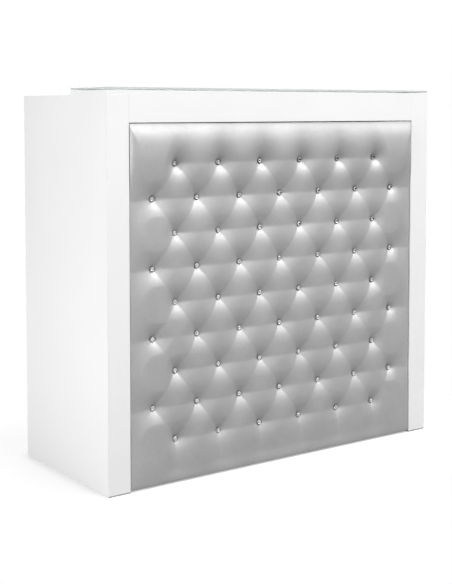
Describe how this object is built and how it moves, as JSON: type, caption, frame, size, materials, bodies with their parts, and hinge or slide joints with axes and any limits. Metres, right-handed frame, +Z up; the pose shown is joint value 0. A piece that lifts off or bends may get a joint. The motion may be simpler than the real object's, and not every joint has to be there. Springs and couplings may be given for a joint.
{
  "type": "reception desk",
  "caption": "Free-standing white reception desk with a diamond-tufted front, glass customer counter, staff worktop, lockable drawer and cupboard.",
  "frame": {"origin": "on the floor under the middle of the desk", "axes": "+Z up, -Y towards the customer, +X to the right seen from the customer's side"},
  "size_m": [1.2, 0.49, 1.115],
  "materials": {
    "white_gloss": "high-gloss white lacquer on board",
    "white_laminate": "satin white laminate on board",
    "hardboard": "painted hardboard",
    "plywood": "raw plywood",
    "batten": "raw softwood and beech",
    "counter_glass": "clear polished float glass",
    "clear_plastic": "clear soft plastic",
    "leatherette": "silver-grey satin leatherette with a fine grain",
    "button_metal": "polished metal cup",
    "crystal": "faceted clear crystal",
    "dark_plastic": "dark plastic",
    "grey_plastic": "mid-grey plastic strip",
    "pale_plastic": "pale grey plastic",
    "satin_chrome": "satin chrome",
    "zinc_steel": "zinc-plated steel"
  },
  "bodies": {
    "desk": {"side_panel_left": "white_gloss", "side_panel_right": "white_gloss", "front_stile_left": "white_gloss", "front_stile_right": "white_gloss", "front_top_rail": "white_gloss", "foot_strips": "grey_plastic", "reveal_left": "white_gloss", "reveal_right": "white_gloss", "reveal_top": "white_gloss", "front_board": "white_laminate", "counter_cap": "white_gloss", "counter_soffit": "white_gloss", "counter_back_rail": "white_gloss", "glass_bumpers": "clear_plastic", "counter_glass": "counter_glass", "backboard": "plywood", "tufted_pad": "leatherette", "button_rims": "button_metal", "button_crystals": "crystal", "panel_screws": "zinc_steel", "worktop": "white_laminate", "worktop_cleats": "batten", "cleat_screws": "zinc_steel", "grommet_ring": "satin_chrome", "partition": "white_laminate", "pedestal_bottom": "white_laminate", "pedestal_divider": "white_laminate", "pedestal_plinth": "white_laminate", "shelf": "white_laminate", "shelf_pins": "zinc_steel", "cam_discs": "zinc_steel", "cam_bolts": "zinc_steel", "dowels": "batten", "glides": "pale_plastic", "slide_cabinet_members": "zinc_steel", "hinge_fixed_leaves": "zinc_steel", "hinge_pins": "zinc_steel", "hinge_screws": "zinc_steel", "magnetic_catch": "dark_plastic"},
    "drawer": {"drawer_front": "white_gloss", "drawer_sides": "white_laminate", "drawer_back": "white_laminate", "drawer_bottom": "hardboard", "drawer_handle": "satin_chrome", "drawer_handle_screws": "zinc_steel", "lock_housing": "satin_chrome", "slide_drawer_members": "zinc_steel"},
    "drawer_lock": {"lock_plug": "satin_chrome", "lock_cam": "zinc_steel", "lock_nut": "zinc_steel"},
    "slide_middles": {"slide_middle_members": "zinc_steel"},
    "outer_cages": {"outer_ball_cages": "zinc_steel"},
    "inner_cages": {"inner_ball_cages": "zinc_steel"},
    "cupboard_door": {"door": "white_gloss", "door_handle": "satin_chrome", "door_handle_screws": "zinc_steel", "hinge_door_leaves": "zinc_steel", "door_hinge_screws": "zinc_steel", "catch_strike": "zinc_steel"},
    "cable_cap": {"grommet_cap": "satin_chrome"}
  },
  "joints": [
    {"name": "drawer_slide", "type": "slide", "parent": "desk", "child": "drawer", "axis": [0, 1, 0], "range_m": [0, 0.3]},
    {"name": "middle_travel", "type": "slide", "parent": "desk", "child": "slide_middles", "axis": [0, 1, 0], "range_m": [0, 0.15]},
    {"name": "outer_cage_travel", "type": "slide", "parent": "desk", "child": "outer_cages", "axis": [0, 1, 0], "range_m": [0, 0.075]},
    {"name": "inner_cage_travel", "type": "slide", "parent": "desk", "child": "inner_cages", "axis": [0, 1, 0], "range_m": [0, 0.225]},
    {"name": "lock_turn", "type": "hinge", "parent": "drawer", "child": "drawer_lock", "pos_m": [0.38125, 0.205, 0.718], "axis": [0, -1, 0], "range_deg": [0, 90]},
    {"name": "door_swing", "type": "hinge", "parent": "desk", "child": "cupboard_door", "pos_m": [0.5782, 0.2173, 0.32], "axis": [0, 0, -1], "range_deg": [0, 100]},
    {"name": "cap_turn", "type": "hinge", "parent": "desk", "child": "cable_cap", "pos_m": [-0.3, -0.093, 0.7655], "axis": [0, 0, 1], "continuous": true}
  ],
  "couplings": [
    {"joint": "middle_travel", "follows": "drawer_slide", "ratio": 0.5},
    {"joint": "outer_cage_travel", "follows": "drawer_slide", "ratio": 0.25},
    {"joint": "inner_cage_travel", "follows": "drawer_slide", "ratio": 0.75}
  ]
}
